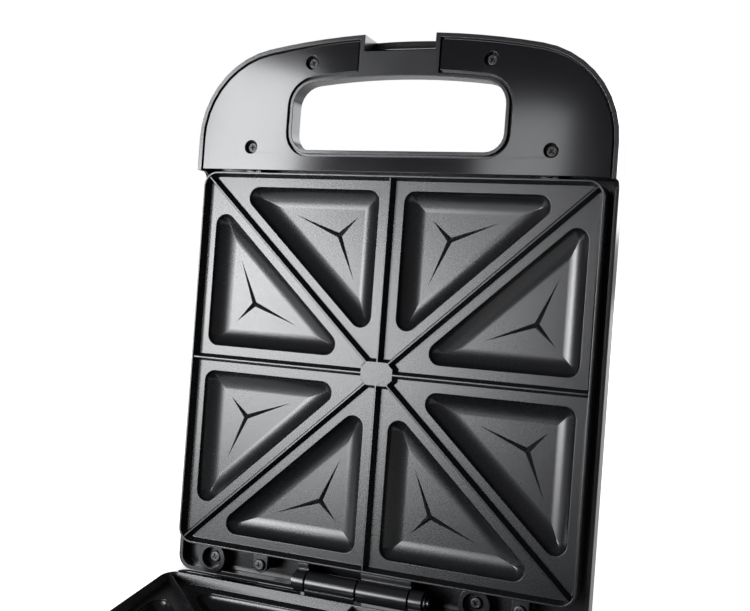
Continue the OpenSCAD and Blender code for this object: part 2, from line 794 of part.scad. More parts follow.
module power_lamp() color([0.75, 0.1, 0.08]) in_lid() translate([-lamp_x, lamp_y, 0]) lamp();
module ready_lamp() color([0.1, 0.6, 0.25]) in_lid() translate([lamp_x, lamp_y, 0]) lamp();

// Parts of the base

// Height at which the open lid's rear wall comes to rest on the base's rear wall
stop_h = (rear_reach - rear_reach * cos(open_angle)) / sin(open_angle);
stop_top = base_axis - stop_h - 0.25;
stop_x = [-88, 88];
module base_frame() {
    color([0.06, 0.06, 0.07]) in_base()
        frame_body(base_axis) {
            union() {
                knuckles([1, 3], -1, base_axis, knuckle_r, 0.5);
                for (x = stop_x)
                    translate([x - 15, -rear_reach, -side_drop - 2])
                        cube([30, wall, stop_top + side_drop + 2]);
            }
        }
}

slot_x = 44;
slot_l = 40;
slot_pitch = 11;
slot_count = 7;
module base_pan() {
    color([0.05, 0.05, 0.06]) in_base() difference() {
        union() {
            shell(pan_depth, pan_curve);
            cover_posts(pan_z, pan_z + 2.2);
            for (s = [-1, 1]) inner_post(grommet_x - s * 12, block_y, pan_z + wall + 4, pan_z + 1, 3);
        }
        cover_pilots();
        translate([grommet_x, -rear_reach - 2, grommet_z]) rotate([-90, 0, 0])
            cylinder(r = 5.2, h = 12, $fn = fine);
        for (p = foot_xy)
            translate([p[0], p[1], pan_z - 1]) cylinder(r = 3.1, h = wall + 2, $fn = fine);
        for (s = [-1, 1], k = [0:slot_count - 1])
            translate([s * slot_x - slot_l / 2, plate_mid + slot_pitch * (k - 3) - 1.5, pan_z - 1])
                cube([slot_l, 3, wall + 2]);
    }
}

module base_handle_panel() color([0.1, 0.1, 0.11]) in_base() handle_panel();
module base_panel_screws() color([0.2, 0.2, 0.21]) in_base() panel_screws();
module base_plate() color([0.27, 0.28, 0.29]) in_base() plate();
module base_plate_screws() color([0.55, 0.55, 0.56]) in_base() plate_screws();
module base_element() color([0.5, 0.42, 0.36]) in_base() element();
module base_heat_shield() color([0.78, 0.79, 0.8]) in_base() heat_shield();
module base_pan_screws() color([0.6, 0.6, 0.62]) in_base() cover_screws();

module thermostat() {
    color([0.8, 0.78, 0.72]) in_base() translate([0, plate_mid, cast_low - 0.1]) {
        translate([0, 0, -5.5]) cylinder(r = 11, h = 5.5, $fn = fine);
        for (s = [-1, 1])
            translate([s * 6 - 3, -14, -3.5]) cube([6, 28, 0.8]);
    }
}

module thermal_fuse() {
    color([0.9, 0.88, 0.8]) in_base() translate([-14, plate_mid + 48, shield_z + shield_t + 2.3]) {
        rotate([0, 90, 0]) cylinder(r = 2, h = 28, $fn = fine);
        translate([8, -4, -2.2]) cube([4, 8, 4.8]);
        translate([17, -4, -2.2]) cube([4, 8, 4.8]);
    }
}

module terminal_block() {
    block_z = pan_z + wall + 4.1;
    color([0.88, 0.86, 0.8]) in_base() translate([grommet_x, block_y, block_z]) difference() {
        translate([-19, -8, 0]) cube([38, 16, 11]);
        for (k = [-1, 0, 1]) {
            translate([k * 12 - 4.5, -9, 4]) cube([9, 18, 3.4]);
            translate([k * 12, 0, 6]) cylinder(r = 2.4, h = 8, $fn = fine);
        }
    }
}

module cord_grommet() {
    groove = wall + 0.8;
    profile = [[3.6, -groove - 3], [7, -groove - 3], [7, -groove], [5.1, -groove], [5.1, 0],
        [7.4, 0], [7, 2], [5.6, 8], [3.6, 8]];
    color([0.08, 0.08, 0.08]) in_base() translate([grommet_x, -rear_reach - 0.1, grommet_z])
        rotate([90, 0, 0]) rotate_extrude($fn = fine) polygon(profile);
}

module rubber_feet() {
    color([0.09, 0.09, 0.09]) in_base() for (p = foot_xy)
        translate([p[0], p[1], pan_z - foot_h]) rotate_extrude($fn = fine)
            polygon([[0, 0], [9.2, 0], [10, 0.8], [10.6, foot_h], [3, foot_h], [3, foot_h + wall],
                [4, foot_h + wall + 0.4], [3, foot_h + wall + 3.4], [0, foot_h + wall + 3.4]]);
}

module hinge_pin() {
    left = knuckle_start - 0.6;
    color([0.72, 0.73, 0.75]) translate([0, axis_y, axis_z]) rotate([0, 90, 0]) {
        translate([0, 0, left]) cylinder(r = pin_r, h = hinge_end + 3 - left, $fn = fine);
        translate([0, 0, left - 1.4]) cylinder(r = pin_r + 1.4, h = 1.5, $fn = fine);
    }
}

module pin_clip() {
    color([0.6, 0.6, 0.62]) translate([hinge_end + 0.4, axis_y, axis_z]) rotate([0, 90, 0]) difference() {
        cylinder(r = pin_r + 1.8, h = 0.9, $fn = fine);
        translate([0, 0, -1]) cylinder(r = pin_r + 0.04, h = 3, $fn = fine);
        translate([-1.6, 0, -1]) cube([3.2, 10, 3]);
    }
}

module at_latch() {
    translate([0, axis_y - latch_v, base_z + latch_w]) children();
}

module latch_pin() {
    color([0.72, 0.73, 0.75]) at_latch() translate([-land_w - 2, 0, 0]) rotate([0, 90, 0])
        cylinder(r = latch_pin_r, h = 2 * land_w + 4, $fn = fine);
}

// The latch is drawn upright and hooked, then swung out by its whole swing
module latch() {
    latch_half = notch_w / 2 - 1;
    nose_z = plate_gap - catch_low - latch_w + 0.3;
    color([0.08, 0.08, 0.09]) at_latch() rotate([latch_swing, 0, 0]) difference() {
        union() {
            rotate([0, 90, 0]) translate([0, 0, -latch_half])
                cylinder(r = 3.2, h = 2 * latch_half, $fn = fine);
            translate([-latch_half, -1.2, 0]) cube([2 * latch_half, latch_t, latch_top - 2]);
            // Nose that hooks over the edge of the lid's window
            translate([-catch_half + 0.8, 1, nose_z]) cube([2 * catch_half - 1.6, 8, 3.2]);
            // Thumb ridge along the free edge
            translate([-latch_half, -5.2, latch_top - 6]) cube([2 * latch_half, 5.2, 4]);
        }
        rotate([0, 90, 0]) translate([0, 0, -latch_half - 1])
            cylinder(r = latch_pin_r + pin_clear, h = 2 * latch_half + 2, $fn = fine);
    }
}

base_frame();
base_pan();
base_handle_panel();
base_panel_screws();
base_plate();
base_plate_screws();
base_element();
base_heat_shield();
base_pan_screws();
thermostat();
thermal_fuse();
terminal_block();
cord_grommet();
rubber_feet();
hinge_pin();
pin_clip();
latch_pin();
latch();
lid_frame();
lid_cover();
lid_handle_panel();
lid_panel_screws();
lid_plate();
lid_plate_screws();
lid_element();
lid_heat_shield();
lid_cover_screws();
lamp_carrier();
power_lamp();
ready_lamp();
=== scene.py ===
# %% [markdown]
# # An open sandwich toaster
# The toaster stands open with its lid raised past the upright. Almost all that the picture
# shows is the lid from inside: a cast plate with eight pressed triangles, and a black handle
# with a finger hole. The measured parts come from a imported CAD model, and this lesson builds
# the visible surfaces around it: crisp castings, rounded mouldings, and their finishes.

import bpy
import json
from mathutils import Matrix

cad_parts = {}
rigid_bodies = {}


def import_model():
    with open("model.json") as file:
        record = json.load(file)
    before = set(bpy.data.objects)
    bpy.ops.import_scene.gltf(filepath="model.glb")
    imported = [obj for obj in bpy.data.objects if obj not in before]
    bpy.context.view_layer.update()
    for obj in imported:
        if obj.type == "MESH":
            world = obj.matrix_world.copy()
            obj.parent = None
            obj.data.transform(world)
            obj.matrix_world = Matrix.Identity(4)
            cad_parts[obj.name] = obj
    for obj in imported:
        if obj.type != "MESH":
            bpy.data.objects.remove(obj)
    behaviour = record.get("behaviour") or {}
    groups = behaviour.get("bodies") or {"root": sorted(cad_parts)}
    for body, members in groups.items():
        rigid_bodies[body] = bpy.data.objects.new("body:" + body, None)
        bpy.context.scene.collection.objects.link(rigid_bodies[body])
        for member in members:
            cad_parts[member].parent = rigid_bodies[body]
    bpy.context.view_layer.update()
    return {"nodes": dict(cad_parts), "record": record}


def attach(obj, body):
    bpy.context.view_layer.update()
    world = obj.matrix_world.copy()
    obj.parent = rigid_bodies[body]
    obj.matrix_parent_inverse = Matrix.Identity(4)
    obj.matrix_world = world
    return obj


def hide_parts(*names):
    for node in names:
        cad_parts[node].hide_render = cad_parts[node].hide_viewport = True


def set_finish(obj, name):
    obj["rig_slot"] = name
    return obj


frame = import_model()

# %% The libraries, and one millimetre
import json
from math import acos, atan2, cos, degrees, hypot, pi, radians, sin, tan

import bmesh
import bpy
from mathutils import Matrix, Vector

MM = 0.001

# %% [markdown]
# ## The camera first
# A camera that matches the photograph decides how every edge falls in the picture. Its place
# was worked out from the plate's corners and ribs: it stands in front, to the right, and looks
# ten degrees down. The lens is a normal one, 50 mm on a 36 mm wide sensor.

# %% The camera
CAMERA_AT = Vector((0.2275, -0.4026, 0.3338))
bpy.ops.object.camera_add(
    location=CAMERA_AT, rotation=(radians(79.89), 0, radians(22.4)))
camera = bpy.context.object
camera.data.lens = 50.57
camera.data.sensor_width = 36
camera.data.clip_start = 0.02
bpy.context.scene.camera = camera
print("camera stands at", list(CAMERA_AT))

# %% [markdown]
# ## Two halves, one drawing
# Both halves of the toaster are drawn flat: X across, Y from the hinge towards the handle, and
# Z out of the cooking face. A matrix then lays each half in its place, the base face up and
# the lid swung open. The numbers are those of the CAD source, in millimetres.

# %% Where the halves lie
AXIS_Y, AXIS_Z, BASE_Z = 128 * MM, 61 * MM, 58 * MM
LID_AXIS = 2 * MM
OPEN = radians(101)
IN_BASE = Matrix.Translation((0, AXIS_Y, BASE_Z)) @ Matrix.Rotation(pi, 4, "Z")
IN_LID = (Matrix.Translation((0, AXIS_Y, AXIS_Z)) @ Matrix.Rotation(-OPEN, 4, "X")
          @ Matrix.Translation((0, 0, -LID_AXIS)) @ Matrix.Rotation(pi, 4, "X"))


# %% Select one piece, and edit it
def alone(piece):
    if bpy.context.object and bpy.context.object.mode != "OBJECT":
        bpy.ops.object.mode_set(mode="OBJECT")
    bpy.ops.object.select_all(action="DESELECT")
    piece.select_set(True)
    bpy.context.view_layer.objects.active = piece
    return piece


def edit(piece):
    alone(piece)
    bpy.ops.object.mode_set(mode="EDIT")
    bpy.ops.mesh.select_all(action="DESELECT")
    return bmesh.from_edit_mesh(piece.data)


def done():
    bpy.ops.object.mode_set(mode="OBJECT")


def pick(mesh, kind, test):
    """Selects the faces or edges of the open mesh whose middle passes the test."""
    for part in getattr(mesh, kind):
        middle = sum((v.co for v in part.verts), Vector()) / len(part.verts)
        part.select_set(bool(test(middle / MM, part)))


# %% Modifiers, applied at once
def modified(piece, kind, **settings):
    alone(piece)
    bpy.ops.object.modifier_add(type=kind)
    modifier = piece.modifiers[-1]
    for name, value in settings.items():
        setattr(modifier, name, value)
    bpy.ops.object.modifier_apply(modifier=modifier.name)
    return piece


def melted(piece, angle, merge=0.0):
    """Merges close corners, and melts loose triangles into whole flat faces."""
    edit(piece)
    bpy.ops.mesh.select_all(action="SELECT")
    if merge:
        bpy.ops.mesh.remove_doubles(threshold=merge)
    bpy.ops.mesh.dissolve_limited(angle_limit=radians(angle))
    done()
    return piece


def cut(piece, tool, operation="DIFFERENCE"):
    """Cuts with a tool, or joins to it, and tidies the faces that this leaves."""
    modified(piece, "BOOLEAN", operation=operation, object=tool, solver="EXACT")
    bpy.data.objects.remove(tool)
    return melted(piece, 0.3, 1e-6)


def softened(piece, width, segments=2, angle=30):
    """Rounds the sharp edges, as every casting and moulding has them. Faces of many corners
    are split first, because a bevel can lose an arm of a star-shaped face."""
    modified(piece, "TRIANGULATE", min_vertices=5)
    return modified(piece, "BEVEL", width=width * MM, segments=segments,
                    limit_method="ANGLE", angle_limit=radians(angle),
                    use_clamp_overlap=False, miter_outer="MITER_ARC")


def shaded(piece, angle=32):
    alone(piece)
    bpy.ops.object.shade_smooth_by_angle(angle=radians(angle))
    return modified(piece, "WEIGHTED_NORMAL", keep_sharp=True, weight=60)


# %% Join, copy and mirror
def joined(pieces):
    alone(pieces[0])
    for piece in pieces:
        piece.select_set(True)
    bpy.ops.object.join()
    return bpy.context.object


def twin(piece, name=None):
    copy = piece.copy()
    copy.data = piece.data.copy()
    copy.name = name or piece.name
    bpy.context.scene.collection.objects.link(copy)
    return copy


def outwards(piece):
    """Points the faces outwards. A shell whose volume counts as negative is inside out."""
    edit(piece)
    bpy.ops.mesh.select_all(action="SELECT")
    bpy.ops.mesh.normals_make_consistent(inside=False)
    if bmesh.from_edit_mesh(piece.data).calc_volume(signed=True) < 0:
        bpy.ops.mesh.flip_normals()
    done()
    return piece


def flipped(piece, x, y):
    """A copy, mirrored along X where x is -1 and along Y where y is -1."""
    copy = alone(twin(piece))
    copy.scale = (x, y, 1)
    bpy.ops.object.transform_apply(location=False, rotation=False)
    return outwards(copy)


def four_ways(piece):
    """The piece and its mirror images in the other three quarters of a plate."""
    return joined([piece] + [flipped(piece, x, y) for x, y in ((-1, 1), (1, -1), (-1, -1))])


# %% [markdown]
# ## Outlines and lofts
# Most pieces start as a flat outline of arcs and straight lines. A slab is that outline pushed
# up. A loft lays each row of a plain grid on its own outline, one above the other, and closes
# the two ends, which gives a pressed hollow its curved wall.

# %% Arcs and round boxes
def arc(x, y, r, start, end, steps):
    return [(x + r * cos(radians(start + (end - start) * i / steps)),
             y + r * sin(radians(start + (end - start) * i / steps)))
            for i in range(steps + 1)]


def round_box(width, length, r, steps=8):
    x, y = width / 2 - r, length / 2 - r
    return (arc(x, y, r, 0, 90, steps) + arc(-x, y, r, 90, 180, steps)
            + arc(-x, -y, r, 180, 270, steps) + arc(x, -y, r, 270, 360, steps))


def moved(points, x, y):
    return [(px + x, py + y) for px, py in points]


# %% Slabs and lofts
def loft(name, rings):
    """A closed solid through rings of points, each a pair of an outline and its level."""
    across, up = len(rings[0][0]), len(rings) - 1
    bpy.ops.object.select_all(action="DESELECT")
    bpy.ops.mesh.primitive_grid_add(x_subdivisions=across, y_subdivisions=up, size=1)
    piece = bpy.context.object
    piece.name = name
    for vertex in piece.data.vertices:
        column = round((vertex.co.x + 0.5) * across) % across
        points, level = rings[round((vertex.co.y + 0.5) * up)]
        vertex.co = Vector((points[column][0], points[column][1], level)) * MM
    edit(piece)
    bpy.ops.mesh.select_all(action="SELECT")
    bpy.ops.mesh.remove_doubles(threshold=1e-7)
    for level in (rings[0][1], rings[-1][1]):
        mesh = bmesh.from_edit_mesh(piece.data)
        pick(mesh, "edges", lambda at, edge: edge.is_boundary and abs(at.z - level) < 1e-3)
        mesh.select_flush_mode()
        bpy.ops.mesh.edge_face_add()
    done()
    return outwards(piece)


def slab(name, points, low, high):
    return loft(name, [(points, low), (points, high)])


# %% [markdown]
# ## The cooking plate
# The plate is one aluminium casting. A thin rim runs round it, four ribs cross at a flat hub
# and seal the sandwich corners, and each of the eight fields has a pressed triangle with
# hollowed walls and a three-armed crest on its floor. The field between two ribs is a flat
# land. It is cut out of one slab, from the coarse to the fine: the tray, the fields between
# the ribs, and then the pockets.

# %% The plate's sizes
PLATE_W, PLATE_L, CORNER_R = 250, 232.5, 9
HINGE_TO_PLATE = 11.3
PLATE_MID = HINGE_TO_PLATE + PLATE_L / 2
SKIRT, RIM_T, RIM_H = 13.5, 1, 5.6
RIB_W, RIB_DROP, DRAFT = 0.9, 0.7, 1.65
LAND, CAST_T = -RIM_H, 2.4
POCKET_DEPTH, POCKET_LEAN, POCKET_R, LIP = 7.2, 11.5, 6.5, 0.5
FLOOR = LAND - POCKET_DEPTH
CAST_LOW = FLOOR - CAST_T
SLOPE = PLATE_L / PLATE_W
TILT = atan2(PLATE_L, PLATE_W)
RIM_FOOT = RIM_T + DRAFT


# %% Triangles
def incentre(t):
    sides = [hypot(t[(i + 1) % 3][0] - t[(i + 2) % 3][0],
                   t[(i + 1) % 3][1] - t[(i + 2) % 3][1]) for i in range(3)]
    return tuple(sum(s * p[k] for s, p in zip(sides, t)) / sum(sides) for k in (0, 1))


def inradius(t):
    (ax, ay), (bx, by), (cx, cy) = t
    twice = abs((bx - ax) * (cy - ay) - (by - ay) * (cx - ax))
    return twice / sum(hypot(t[i][0] - t[i - 1][0], t[i][1] - t[i - 1][1]) for i in range(3))


def drawn_in(t, by):
    """The triangle with its three sides moved in, which shrinks it about its incentre."""
    x, y = incentre(t)
    share = (inradius(t) - by) / inradius(t)
    return [(x + (px - x) * share, y + (py - y) * share) for px, py in t]


def round_corners(t, r, steps=8):
    points = []
    for i in range(3):
        p, a, b = (Vector(t[i - k]) for k in (0, 1, 2))
        to_a, to_b = (a - p).normalized(), (b - p).normalized()
        half = acos(to_a.dot(to_b)) / 2
        centre = p + (to_a + to_b).normalized() * r / sin(half)
        first, last = p + to_a * r / tan(half) - centre, p + to_b * r / tan(half) - centre
        start = degrees(atan2(first.y, first.x))
        turn = (degrees(atan2(last.y, last.x)) - start + 180) % 360 - 180
        points += arc(centre.x, centre.y, r, start, start + turn, steps)
    return points


# %% The tray and the fields between the ribs
RIB_HALF = RIB_W / 2 + DRAFT
RIB_LIFT = RIB_HALF / cos(TILT)
PAST_RIM = 6


def field(t, name):
    """A field's cutter: wider at its top by the draft, up to the ribs' top."""
    high = -RIB_DROP + 0.1
    lean = DRAFT * (high - LAND) / (RIM_H - RIB_DROP)
    return loft(name, [(t, LAND), (drawn_in(t, -lean), high)])


def tray_level(z):
    lean = DRAFT * (z - LAND) / RIM_H
    return round_box(PLATE_W - 2 * (RIM_FOOT - lean), PLATE_L - 2 * (RIM_FOOT - lean),
                     CORNER_R - RIM_FOOT + lean), z


far_x, far_y = PLATE_W / 2 + PAST_RIM, PLATE_L / 2 + PAST_RIM
end_field = [(RIB_HALF, SLOPE * RIB_HALF + RIB_LIFT), (RIB_HALF, far_y),
             ((far_y - RIB_LIFT) / SLOPE, far_y)]
side_field = [((RIB_HALF + RIB_LIFT) / SLOPE, RIB_HALF), (far_x, SLOPE * far_x - RIB_LIFT),
              (far_x, RIB_HALF)]
fields = joined([four_ways(field(end_field, "end_field")),
                 four_ways(field(side_field, "side_field"))])
cut(fields, loft("tray", [tray_level(LAND), tray_level(1)]), "INTERSECT")

# %% The hub stays standing where the ribs meet
HUB_W, HUB_L = 20, 14
CORNER_X, CORNER_Y, CORNER_LEAN = 0.3, 0.24, 0.41


def hub_ring(z):
    """An eight-sided ring that grows by the draft on its way down."""
    lean = DRAFT * (-RIB_DROP - z) / (RIM_H - RIB_DROP)
    x, y = HUB_W / 2 + lean, HUB_L / 2 + lean
    bx, by = HUB_W * CORNER_X + lean * CORNER_LEAN, HUB_L * CORNER_Y + lean * CORNER_LEAN
    return [(bx, y), (x, by), (x, -by), (bx, -y), (-bx, -y), (-x, -by), (-x, by), (-bx, y)], z


cut(fields, loft("hub", [hub_ring(LAND - 1), hub_ring(0)]))

# %% Cut the fields out of the slab
EDGE_R = 0.22
plate = slab("plate", round_box(PLATE_W, PLATE_L, CORNER_R, 12), CAST_LOW, 0)
cut(plate, loft("tray_top", [tray_level(-RIB_DROP), tray_level(1)]))
cut(plate, fields)
softened(plate, EDGE_R, 2, 25)
print("plate with fields:", len(plate.data.polygons), "faces")

# %% [markdown]
# A pocket's wall is steep at the land, slants most of the way, and turns into the floor with
# a short round, so its profile lies between a straight slope and a quarter of an ellipse: the
# sine and cosine are raised to a power. Its rounded corners grow tighter on the way down
# until the walls meet in a crease, as in the photograph. The top edge has a small round of
# its own. A plainer loft, let out by the casting's thickness, makes the bowl below.

# %% The pockets
LAND_HALF, DIAGONAL_HALF, LAND_SIDE, LAND_END = 8.2, 7.6, 7.9, 8.5
COVE_POWER, COVE_STEPS, TIP_R = 1.12, 11, 0.06
BOWL_TURN, BOWL_STEPS = 80, 4
pocket_x, pocket_y = PLATE_W / 2 - LAND_SIDE, PLATE_L / 2 - LAND_END
lift = DIAGONAL_HALF / cos(TILT)
end_pocket = [(LAND_HALF, SLOPE * LAND_HALF + lift), (LAND_HALF, pocket_y),
              ((pocket_y - lift) / SLOPE, pocket_y)]
side_pocket = [((LAND_HALF + lift) / SLOPE, LAND_HALF), (pocket_x, SLOPE * pocket_x - lift),
               (pocket_x, LAND_HALF)]


def pocket_ring(t, inwards, out=0.0):
    return round_corners(drawn_in(t, inwards - out), max(TIP_R, POCKET_R - inwards) + out)


def pocket(t, name):
    rings = [(pocket_ring(t, -LIP), LAND + 1)]
    for a in (0, 30, 60):
        rings.append((pocket_ring(t, -LIP * (1 - sin(radians(a)))),
                      LAND - LIP * (1 - cos(radians(a)))))
    for step in range(COVE_STEPS + 1):
        a = radians(90 * step / COVE_STEPS)
        level, run = sin(a) ** COVE_POWER, 1 - max(0, cos(a)) ** COVE_POWER
        rings.append((pocket_ring(t, POCKET_LEAN * run),
                      LAND - LIP - (POCKET_DEPTH - LIP) * level))
    return loft(name, rings)


def bowl(t, name):
    rings = [(pocket_ring(t, 0, CAST_T), LAND)]
    for step in range(BOWL_STEPS + 1):
        a = radians(BOWL_TURN * step / BOWL_STEPS)
        rings.append((pocket_ring(t, POCKET_LEAN * (1 - cos(a)), CAST_T),
                      LAND - LIP - (POCKET_DEPTH + CAST_T - LIP) * sin(a)))
    rings.append((rings[-1][0], CAST_LOW - 3))
    return loft(name, rings)


below = slab("below", round_box(PLATE_W + 10, PLATE_L + 10, CORNER_R), CAST_LOW - 2, -SKIRT)
under = round_box(PLATE_W - 2 * CAST_T, PLATE_L - 2 * CAST_T, CORNER_R - CAST_T, 12)
cut(below, slab("under", under, -SKIRT - 1, LAND - CAST_T), "UNION")
for t, name in ((end_pocket, "end"), (side_pocket, "side")):
    cut(below, four_ways(bowl(t, name + "_bowl")))
cut(plate, below)
for t, name in ((end_pocket, "end"), (side_pocket, "side")):
    cut(plate, four_ways(pocket(t, name + "_pocket")))
print("plate with pockets:", len(plate.data.polygons), "faces")

# %% [markdown]
# Each crest is a low star with three sharp arms that run out towards the corners. It starts as
# a circle of six corners: three of them become the tips, the face is pushed up, and the top is
# merged to one point, so that each arm has a ridge that falls away to its tip.

# %% The crests
CREST_H, CREST_REACH, CREST_WAIST = 1.6, 0.43, 1.75
CREST_ROOT, CREST_FOOT = 0.3, 0.01


def crest(t, name):
    x, y = incentre(t)
    tips = [Vector((px - x, py - y)) * CREST_REACH for px, py in t]
    if tips[0].x * tips[1].y < tips[0].y * tips[1].x:
        tips.reverse()
    star = []
    for i in range(3):
        notch = tips[i].normalized() + tips[(i + 1) % 3].normalized()
        star += [tips[i], notch * CREST_WAIST]
    bpy.ops.object.select_all(action="DESELECT")
    bpy.ops.mesh.primitive_circle_add(vertices=6, radius=MM, fill_type="NGON")
    piece = bpy.context.object
    piece.name = name
    for vertex, point in zip(piece.data.vertices, star):
        vertex.co = Vector((point.x + x, point.y + y, FLOOR - CREST_ROOT)) * MM
    edit(piece)
    bpy.ops.mesh.select_all(action="SELECT")
    bpy.ops.mesh.extrude_region_move(
        TRANSFORM_OT_translate={"value": (0, 0, (CREST_ROOT + CREST_FOOT) * MM)})
    bpy.ops.mesh.extrude_region_move(TRANSFORM_OT_translate={"value": (0, 0, CREST_H * MM)})
    bpy.ops.mesh.merge(type="COLLAPSE")
    mesh = bmesh.from_edit_mesh(piece.data)
    top = max(mesh.verts, key=lambda v: v.co.z)
    top.co = Vector((x, y, FLOOR + CREST_H)) * MM
    bmesh.update_edit_mesh(piece.data)
    done()
    return outwards(piece)


for t, name in ((end_pocket, "end"), (side_pocket, "side")):
    cut(plate, four_ways(crest(t, name + "_crest")), "UNION")
print("plate with crests:", len(plate.data.polygons), "faces")

# %% [markdown]
# Four ears under the rim take the plate's screws. An ear is a tongue with a round end and a
# hole, cast on to the skirt.

# %% The ears
EAR_TOP, EAR_T, EAR_W, EAR_ROOT = -5.2, 2.5, 10, 2
SCREW_R, SCREW_GAP = 1.8, 0.3
EARS = [(-69, -7.3), (94, -7.3), (-93, PLATE_L + 4.6), (93, PLATE_L + 4.6)]


def ear(x, reach):
    """reach is the screw's distance along the half from the plate's hinge side."""
    half = EAR_W / 2
    start, turn, side = (EAR_ROOT, 180, -half) if reach < 0 else (PLATE_L - EAR_ROOT, 0, half)
    points = ([(x + side, start)] + arc(x, reach, half, turn, turn + 180, 16)
              + [(x - side, start)])
    points = moved(points, 0, -PLATE_L / 2)
    tongue = slab("ear", points, EAR_TOP - EAR_T, EAR_TOP)
    hole = moved(arc(0, 0, SCREW_R + SCREW_GAP, 0, 345, 23), x, reach - PLATE_L / 2)
    cut(tongue, slab("hole", hole, EAR_TOP - EAR_T - 1, EAR_TOP + 1))
    return softened(tongue, 0.4, 2, 40)


for x, reach in EARS:
    cut(plate, ear(x, reach), "UNION")
for vertex in plate.data.vertices:
    vertex.co.y += PLATE_MID * MM
shaded(plate)
print("finished plate:", len(plate.data.polygons), "faces")


# %% Lay a finished piece in its half
def taken_to(piece, place):
    alone(piece)
    piece.matrix_world = place
    bpy.ops.object.transform_apply(location=True, rotation=True, scale=True)
    return piece


def laid(piece, place, name, body, slot, *nodes):
    piece.name = name
    piece.data.name = name
    taken_to(piece, place)
    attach(piece, body)
    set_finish(piece, slot)
    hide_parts(*nodes)


def both(piece, name, slot, base_node, lid_node):
    """Lays one copy of the piece in the base and the piece itself in the lid."""
    laid(twin(piece), IN_BASE, "base_" + name, "base", slot, base_node)
    laid(piece, IN_LID, "lid_" + name, "lid", slot, lid_node)
    print("laid twice:", name)


both(plate, "cooking_plate", "nonstick", "base_plate", "lid_plate")

# %% [markdown]
# ## Screws
# A pan-head screw is a short cylinder whose top edge is rounded by a wide bevel, and a cross
# is cut into it. One screw is made and copied wherever the drawing has one.

# %% One screw
HEAD_R, HEAD_H, HEAD_ROUND = 3.6, 1.7, 1.15
CROSS_L, CROSS_W, CROSS_H, CROSS_TAPER, CROSS_TURN = 4.3, 0.95, 2.2, 0.45, 20
POINT_IN, POINT_OUT, SHANK_LAP, TURN_EACH = 0.8, 1.2, 0.1, 37


def new_screw(name, length):
    bpy.ops.object.select_all(action="DESELECT")
    bpy.ops.mesh.primitive_cylinder_add(vertices=40, radius=HEAD_R * MM, depth=HEAD_H * MM,
                                        location=(0, 0, HEAD_H / 2 * MM))
    head = bpy.context.object
    bpy.ops.object.transform_apply(location=True, rotation=False, scale=False)
    head.name = name
    mesh = edit(head)
    pick(mesh, "edges", lambda at, e: at.z > HEAD_H - 0.01 and len(e.link_faces) == 2
         and abs(e.verts[0].co.z - e.verts[1].co.z) < 1e-7)
    bpy.ops.mesh.bevel(offset=HEAD_ROUND * MM, segments=5, affect="EDGES", profile=0.6)
    done()
    for turn in (0, 90):
        bpy.ops.object.select_all(action="DESELECT")
        bpy.ops.mesh.primitive_cube_add(size=1, location=(0, 0, HEAD_H * MM))
        blade = bpy.context.object
        blade.dimensions = (CROSS_L * MM, CROSS_W * MM, CROSS_H * MM)
        blade.rotation_euler.z = radians(turn + CROSS_TURN)
        bpy.ops.object.transform_apply(location=True, rotation=True, scale=True)
        mesh = edit(blade)
        pick(mesh, "faces", lambda at, f: f.normal.z < -0.5)
        bpy.ops.transform.resize(value=(CROSS_TAPER, CROSS_TAPER, 1))
        done()
        cut(head, blade)
    bpy.ops.object.select_all(action="DESELECT")
    bpy.ops.mesh.primitive_cylinder_add(vertices=24, radius=SCREW_R * MM, depth=length * MM,
                                        location=(0, 0, (SHANK_LAP - length / 2) * MM))
    shank = bpy.context.object
    bpy.ops.object.transform_apply(location=True, rotation=False, scale=False)
    mesh = edit(shank)
    pick(mesh, "faces", lambda at, f: f.normal.z < -0.5)
    bpy.ops.mesh.inset(thickness=POINT_IN * MM, depth=POINT_OUT * MM)
    done()
    cut(head, shank, "UNION")
    return shaded(softened(head, 0.08, 1, 40), 40)


def screws(name, length, spots):
    """Screws whose crosses all stand at another angle. spots: x, y, the seat's level, and
    whether the head points back from the face."""
    pattern = new_screw("screw", length)
    copies = []
    for i, (x, y, z, turned) in enumerate(spots):
        copy = alone(twin(pattern))
        copy.rotation_euler = (pi if turned else 0, 0, radians(TURN_EACH * i))
        copy.location = (x * MM, y * MM, z * MM)
        bpy.ops.object.transform_apply(location=True, rotation=True, scale=False)
        copies.append(copy)
    bpy.data.objects.remove(pattern)
    group = joined(copies)
    group.name = name
    return group


# %% All the screws
FRAME_DEPTH, GRIP_DEPTH, BACK_SEAT = 22, 6.5, 3.4
PANEL_SEAT, TOWER_SEAT = -4.7, -16
plate_spots = [(x, HINGE_TO_PLATE + reach, EAR_TOP, False) for x, reach in EARS]
panel_spots = [(x, y, PANEL_SEAT, False) for x, y in
               ((-56, 311), (56, 311), (-93.8, 259.5), (93.8, 259.5))]
tower_spots = [(x, 1.5, TOWER_SEAT, False) for x in (-106, 66)]
back_spots = [(x, 276, BACK_SEAT - FRAME_DEPTH - GRIP_DEPTH, True) for x in (-104, 104)]
both(screws("plate_screws", 11, plate_spots), "plate_screw_set", "zinc",
     "base_plate_screws", "lid_plate_screws")
both(screws("panel_screws", 9, panel_spots), "panel_screw_set", "screw_black",
     "base_panel_screws", "lid_panel_screws")
both(joined([screws("tower_screws", 14, tower_spots), screws("back_screws", 11, back_spots)]),
     "housing_screw_set", "zinc", "base_pan_screws", "lid_cover_screws")

# %% [markdown]
# ## Mouldings
# The frames, covers and panels are injection mouldings whose measured shape is already right
# in the CAD model. Each is copied, its loose triangles are merged into whole faces, and its
# edges are rounded by a fine bevel, which is what catches the light on a real moulding.

# %% A moulding from its measured node
FLAT, CLOSE = 0.5, 0.02


